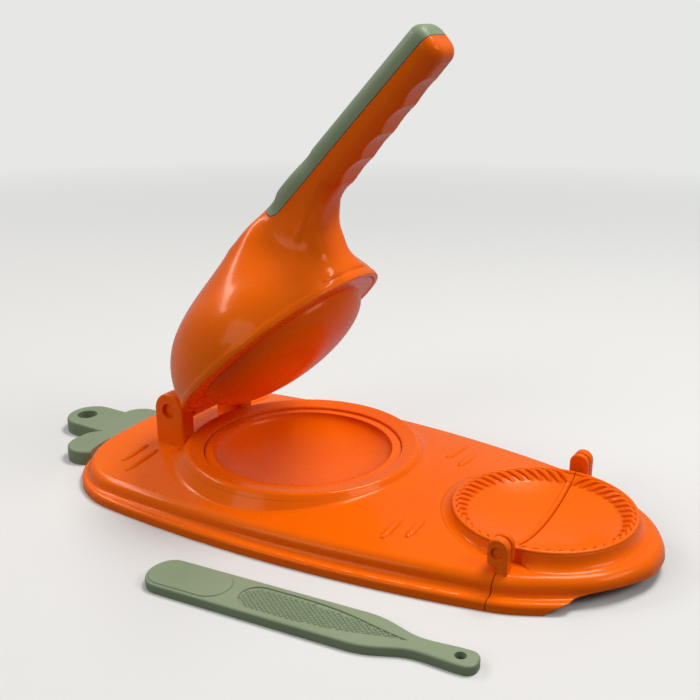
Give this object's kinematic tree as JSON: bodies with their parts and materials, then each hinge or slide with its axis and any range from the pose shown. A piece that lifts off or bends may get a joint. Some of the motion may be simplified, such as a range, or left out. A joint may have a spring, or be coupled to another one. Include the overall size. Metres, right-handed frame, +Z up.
{
  "type": "empanada press",
  "caption": "Kitchen press with a lever-driven domed plate over a round well, a folding toothed dumpling mould, a leaf-shaped tab and a loose spatula.",
  "frame": {"origin": "on the table, under the middle of the press well", "axes": "+X along the press to the tip of the folding mould half, +Y to the rear side, +Z up"},
  "size_m": [0.3211, 0.1901, 0.212],
  "materials": {
    "orange_plastic": "glossy",
    "green_plastic": "satin",
    "screw_steel": "plain"
  },
  "bodies": {
    "base": {"base_shell": "orange_plastic", "press_bed": "orange_plastic", "leaf_tab": "green_plastic", "leaf_screws": "screw_steel", "lever_pin": "orange_plastic", "flap_pin_front": "orange_plastic", "flap_pin_rear": "orange_plastic"},
    "lever": {"lever_shell": "orange_plastic", "press_plate": "orange_plastic", "grip_inlay": "green_plastic"},
    "flap": {"flap_shell": "orange_plastic"},
    "spatula_body": {"spatula": "green_plastic"}
  },
  "joints": [
    {"name": "lever_hinge", "type": "hinge", "parent": "base", "child": "lever", "pos_m": [-0.0603, 0, 0.032], "axis": [0, -1, 0], "range_deg": [-42.8, 57.2]},
    {"name": "mould_fold", "type": "hinge", "parent": "base", "child": "flap", "pos_m": [0.123, 0, 0.0202], "axis": [0, -1, 0], "range_deg": [0, 180]},
    {"name": "spatula_lift", "type": "slide", "parent": "base", "child": "spatula_body", "axis": [0, 0, 1], "range_m": [0, 0.15]}
  ]
}
